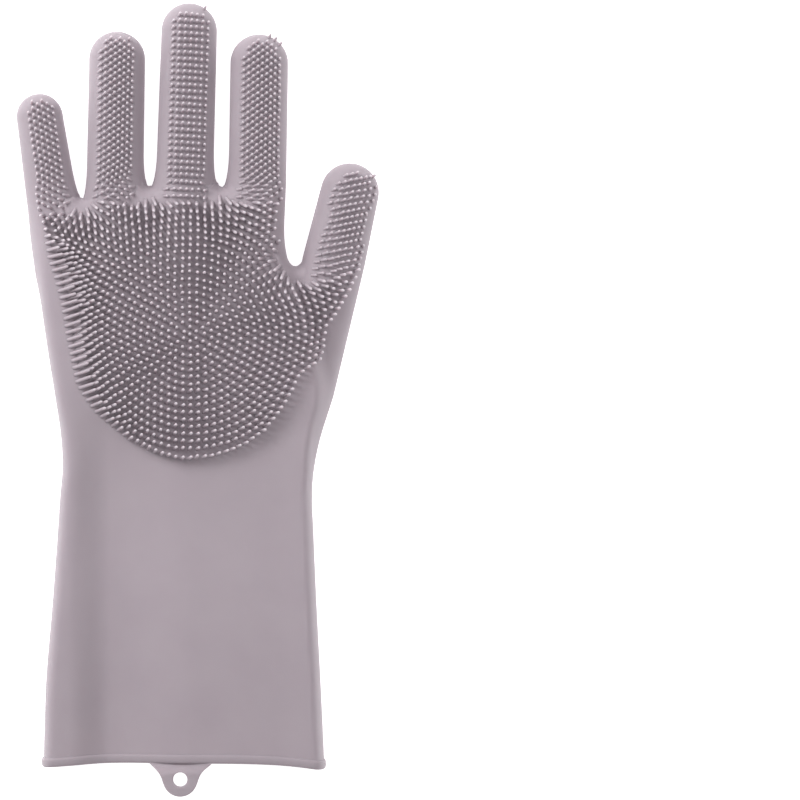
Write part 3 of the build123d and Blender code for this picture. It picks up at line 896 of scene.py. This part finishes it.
def tab():
    """A flat lug with soft edges, flared where it joins the cuff's edge, with a round hole."""
    hole = next(m for m in frame["record"]["mounts"] if m["name"] == "hang_hole")
    hx, hy, _ = (value / MM for value in hole["pos_m"])
    low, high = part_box("hanging_tab")
    low, high = low / MM, high / MM
    middle_z = (low.z + high.z) / 2
    half_root = (high.x - low.x) / 2 + TAB_FLARE
    radius = hy - low.y
    curve = bpy.data.curves.new("tab_outline", "CURVE")
    curve.dimensions = "2D"
    curve.fill_mode = "BOTH"
    curve.extrude = ((high.z - low.z) / 2 - TAB_EDGE) * MM
    curve.bevel_depth = TAB_EDGE * MM
    curve.offset = -TAB_EDGE * MM
    curve.bevel_resolution = 3

    def round_hole(size, angles):
        return [(hx + size * np.cos(a), hy + size * np.sin(a)) for a in angles]

    root_y = high.y + TAB_ROOT
    corner = np.array([half_root, root_y - hy])
    turn = np.arctan2(corner[1], corner[0]) - np.arccos(radius / np.hypot(*corner))
    side = radius * np.array([np.cos(turn), np.sin(turn)]) - corner
    inward = np.array([side[1], -side[0]]) / np.hypot(*side)
    flare = [corner + side * t + inward * TAB_HOLLOW * np.sin(np.pi * t) ** 2
             for t in np.linspace(0, 1, 12)[:-1]]
    outline = [(hx + px, hy + py) for px, py in flare]
    outline += round_hole(radius, np.linspace(turn, -np.pi - turn, 32))
    outline += [(hx - px, hy + py) for px, py in flare[::-1]]
    outline += [(hx - half_root * t, root_y) for t in np.linspace(1, -1, 13)[1:-1]]
    ring = round_hole(TAB_HOLE_RADIUS, np.linspace(0, 2 * np.pi, 33)[:-1])
    for loop in (outline, ring):
        spline = curve.splines.new("POLY")
        spline.points.add(len(loop) - 1)
        for point, (px, py) in zip(spline.points, loop):
            point.co = (px * MM, py * MM, 0, 1)
        spline.use_cyclic_u = True
    made = linked("tab_curve", curve)
    made.location.z = middle_z * MM
    bpy.context.view_layer.update()
    evaluated = made.evaluated_get(bpy.context.evaluated_depsgraph_get())
    mesh = bpy.data.meshes.new_from_object(evaluated)
    mesh.transform(made.matrix_world)
    bpy.data.objects.remove(made)

    # The root rises and falls with the mouth's rim; the part round the hole stays flat.
    flat = np.empty(3 * len(mesh.vertices), np.float32)
    mesh.vertices.foreach_get("co", flat)
    points = flat.reshape(-1, 3).astype(float) / MM
    rim = top_of(points[:, 0], np.full(len(points), CUFF_MOUTH_Y)) - TAB_SINK
    bend = smooth_step(points[:, 1], hy + TAB_BEND[0], high.y + TAB_BEND[1])
    points[:, 2] += (rim - middle_z) * bend
    mesh.vertices.foreach_set("co", (points * MM).astype(np.float32).ravel())
    obj = linked("hanging_tab_lug", mesh)
    bm = bmesh.new()
    bm.from_mesh(mesh)
    bmesh.ops.remove_doubles(bm, verts=bm.verts, dist=1e-5)
    bmesh.ops.recalc_face_normals(bm, faces=bm.faces)
    bm.to_mesh(mesh)
    bm.free()
    mesh.materials.clear()
    mesh.materials.append(skin_material)
    mesh.shade_smooth()
    mesh.set_sharp_from_angle(angle=np.radians(50))
    return obj


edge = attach(cuff_bead(), "cuff")
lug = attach(tab(), "cuff")
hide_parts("cuff_bead")
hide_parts("hanging_tab")

# ---------------------------------------------------------------- pieces baked in place, and the CAD parts they stand for hidden

for piece in (skins["hand_0"], bristles["hand_0"]):
    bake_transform(piece)
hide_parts("palm_shell", "wrist_band", "cuff_sleeve")
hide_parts("palm_bristles")
for name, d in DIGITS.items():
    for place, segment in enumerate(d["segments"]):
        for distance in digit_span(d, place):
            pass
        key = f"{name}_{place}"
        for piece in (skins[key], bristles[key]):
            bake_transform(piece)
        joint = "knuckle" if place == 0 else segment
        before = "knuckle" if place == 0 else d["segments"][place - 1]
        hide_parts(f"{name}_{joint}_band", f"{name}_{segment}_shell")
        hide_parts(f"{name}_{before}_bristles")
    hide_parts(f"{name}_tip_bristles")

# ---------------------------------------------------------------- stage, light and camera

FLOOR_REACH = 4.0
FLOOR_Z = -0.0003
FLOOR_GLOW = 0.8
SKY_STRENGTH = 0.47


def make_floor():
    """A plain pale floor that glows a little, so that it stays white."""
    mesh = bpy.data.meshes.new("floor")
    corners = [(sx * FLOOR_REACH, sy * FLOOR_REACH, FLOOR_Z)
               for sx, sy in ((-1, -1), (1, -1), (1, 1), (-1, 1))]
    mesh.from_pydata(corners, [], [[0, 1, 2, 3]])
    material = bpy.data.materials.new("floor_paint")
    material.use_nodes = True
    shader = material.node_tree.nodes["Principled BSDF"]
    shader.inputs["Base Color"].default_value = (0.9, 0.9, 0.9, 1)
    shader.inputs["Roughness"].default_value = 0.9
    shader.inputs["Emission Color"].default_value = (1, 1, 1, 1)
    shader.inputs["Emission Strength"].default_value = FLOOR_GLOW
    mesh.materials.append(material)
    linked("floor", mesh)


def area_light(name, place, target, size, power):
    """A round soft lamp that shines from its place to a target."""
    data = bpy.data.lights.new(name, "AREA")
    data.shape = "DISK"
    data.size = size
    data.energy = power
    obj = linked(name, data)
    obj.location = place
    obj.rotation_euler = (Vector(target) - Vector(place)).to_track_quat("-Z", "Y").to_euler()


make_floor()
area_light("key", (-0.78, 0.74, 0.86), (0, 0.02, 0), 0.75, 14.8)
area_light("fill", (0.8, 0.25, 1.0), (0, 0, 0), 0.9, 4.0)
world = bpy.data.worlds.new("studio")
world.use_nodes = True
background = world.node_tree.nodes["Background"]
background.inputs["Color"].default_value = (1, 1, 1, 1)
background.inputs["Strength"].default_value = SKY_STRENGTH
bpy.context.scene.world = world
bpy.context.scene.view_settings.view_transform = "Standard"

CAMERA_HEIGHT = 1.9
CAMERA_X, CAMERA_Y = 0.0911, -0.0003  # straight above, with the glove on the left of the picture
VIEW_WIDTH = 0.3618  # what the picture spans at the height of the palm
PALM_HEIGHT = 0.02
camera_data = bpy.data.cameras.new("camera")
camera_data.lens = camera_data.sensor_width * (CAMERA_HEIGHT - PALM_HEIGHT) / VIEW_WIDTH
camera = linked("camera", camera_data)
camera.location = (CAMERA_X, CAMERA_Y, CAMERA_HEIGHT)
bpy.context.scene.camera = camera
